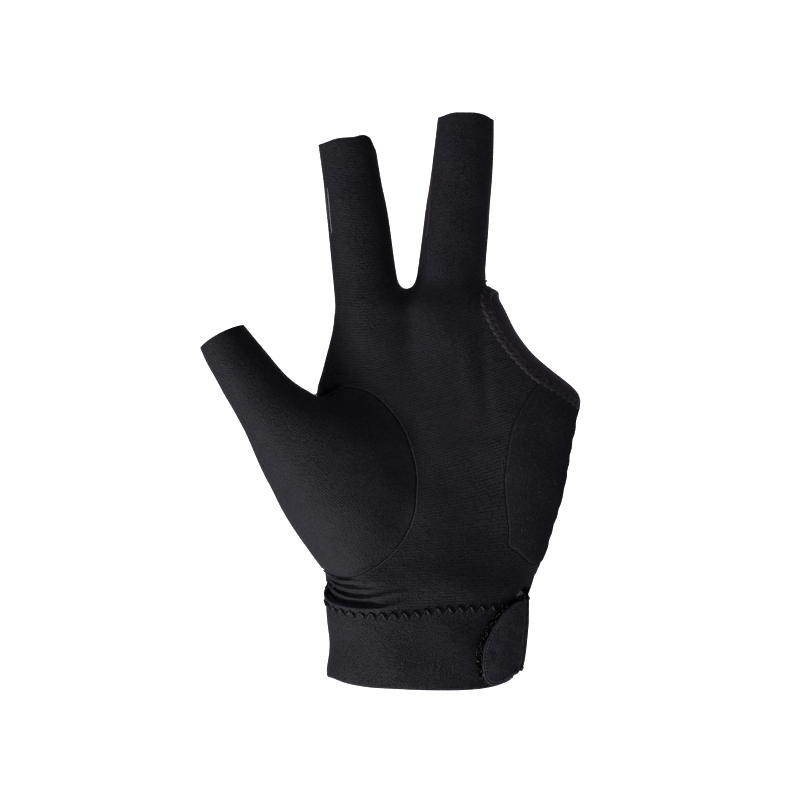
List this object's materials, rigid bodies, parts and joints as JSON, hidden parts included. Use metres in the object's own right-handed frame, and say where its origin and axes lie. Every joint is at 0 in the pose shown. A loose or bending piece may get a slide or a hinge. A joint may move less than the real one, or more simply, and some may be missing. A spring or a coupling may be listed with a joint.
{
  "type": "billiard glove",
  "caption": "Stretch glove for the bridge hand in billiards, with open sleeves for thumb, index and middle finger and a strapped wrist cuff.",
  "frame": {"origin": "centre of the wrist opening, in the plane of the cuff's hem", "axes": "+Z from the wrist to the fingertips, -Y out of the palm, -X towards the thumb"},
  "size_m": [0.133, 0.0467, 0.1963],
  "materials": {
    "stretch_cloth": "black stretch jersey with a soft sheen",
    "back_mesh": "thin black stretch mesh, seen only at the edges of the sleeves",
    "pad_velour": "matt black brushed velour",
    "binding_tape": "folded black elastic binding, cover stitched",
    "cuff_knit": "smooth knit-faced neoprene",
    "hook_tape": "black hook-and-loop pile",
    "strap_suede": "matt blue-grey black synthetic suede"
  },
  "bodies": {
    "root": {"palm_panel": "stretch_cloth", "back_panel": "back_mesh", "thumb_panel": "stretch_cloth", "side_pad": "pad_velour", "rim_binding": "binding_tape", "wrist_cuff": "cuff_knit", "hook_patch": "hook_tape", "closure_strap": "strap_suede"}
  },
  "joints": []
}
